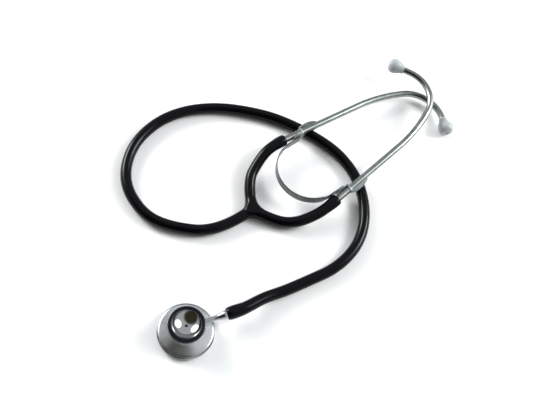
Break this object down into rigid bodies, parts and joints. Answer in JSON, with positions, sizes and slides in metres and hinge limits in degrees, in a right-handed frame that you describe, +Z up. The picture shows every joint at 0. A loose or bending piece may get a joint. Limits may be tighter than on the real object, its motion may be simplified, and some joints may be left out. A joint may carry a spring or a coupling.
{
  "type": "stethoscope",
  "caption": "Dual-head stethoscope with a turning bell-and-diaphragm chestpiece, single black Y tubing and a leaf-spring headset, laid out with the diaphragm down.",
  "frame": {"origin": "centre of the diaphragm's outer face, which lies on the table", "axes": "+Z up through the bell; +X along the chestpiece's stem towards the hose, and roughly the way the headset points"},
  "size_m": [0.3227, 0.2218, 0.0265],
  "materials": {
    "plated_body": "polished chrome plate in the bell, satin on the back",
    "plated_ring": "polished chrome plate",
    "plated_brass": "polished chrome plate on brass",
    "ear_tube_plate": "satin chrome plate on drawn tube",
    "clip_steel": "rolled steel strip, dull plate",
    "spring_steel": "grey spring steel strip",
    "bearing_steel": "plain bright steel",
    "ferrule_brass": "plain turned brass",
    "black_pvc": "soft glossy moulded PVC",
    "ring_rubber": "glossy moulded rubber",
    "seal_rubber": "matt nitrile rubber",
    "diaphragm_sheet": "glass-epoxy sheet",
    "tip_plastic": "pale grey moulded plastic"
  },
  "bodies": {
    "tubing": {"stem": "plated_brass", "stem_o_ring_inner": "seal_rubber", "stem_o_ring_outer": "seal_rubber", "main_hose": "black_pvc", "yoke": "black_pvc", "left_branch_hose": "black_pvc", "right_branch_hose": "black_pvc", "leaf_spring": "spring_steel"},
    "chest_head": {"chestpiece_body": "plated_body", "bell_ring": "ring_rubber", "diaphragm": "diaphragm_sheet", "diaphragm_ring": "plated_ring", "diaphragm_gasket": "seal_rubber", "gland_nut": "plated_brass", "detent_ball": "bearing_steel", "detent_spring": "bearing_steel", "detent_screw": "bearing_steel"},
    "left_arm": {"left_clip": "clip_steel"},
    "right_arm": {"right_clip": "clip_steel"},
    "left_binaural": {"left_ear_tube": "ear_tube_plate", "left_ferrule": "ferrule_brass", "left_ear_tip": "tip_plastic"},
    "right_binaural": {"right_ear_tube": "ear_tube_plate", "right_ferrule": "ferrule_brass", "right_ear_tip": "tip_plastic"}
  },
  "joints": [
    {"name": "chest_turn", "type": "hinge", "parent": "tubing", "child": "chest_head", "pos_m": [0, 0, 0.011], "axis": [1, 0, 0], "continuous": true},
    {"name": "left_spread", "type": "hinge", "parent": "tubing", "child": "left_arm", "pos_m": [0.12539, 0.11235, 0.0137], "axis": [0, 0, 1], "range_deg": [0, 35], "stiffness_Nm_per_rad": 0.8, "deforming": ["left_branch_hose", "leaf_spring"]},
    {"name": "right_spread", "type": "hinge", "parent": "tubing", "child": "right_arm", "pos_m": [0.13605, 0.07567, 0.0123], "axis": [0, 0, -1], "range_deg": [0, 35], "stiffness_Nm_per_rad": 0.8, "deforming": ["right_branch_hose", "leaf_spring"]},
    {"name": "left_twist", "type": "hinge", "parent": "left_arm", "child": "left_binaural", "pos_m": [0.15602, 0.13705, 0.0137], "axis": [0.9811, 0.1872, -0.0489], "range_deg": [0, 20]},
    {"name": "right_twist", "type": "hinge", "parent": "right_arm", "child": "right_binaural", "pos_m": [0.17514, 0.07122, 0.0123], "axis": [0.9283, 0.3675, 0.0558], "range_deg": [0, 20]}
  ]
}
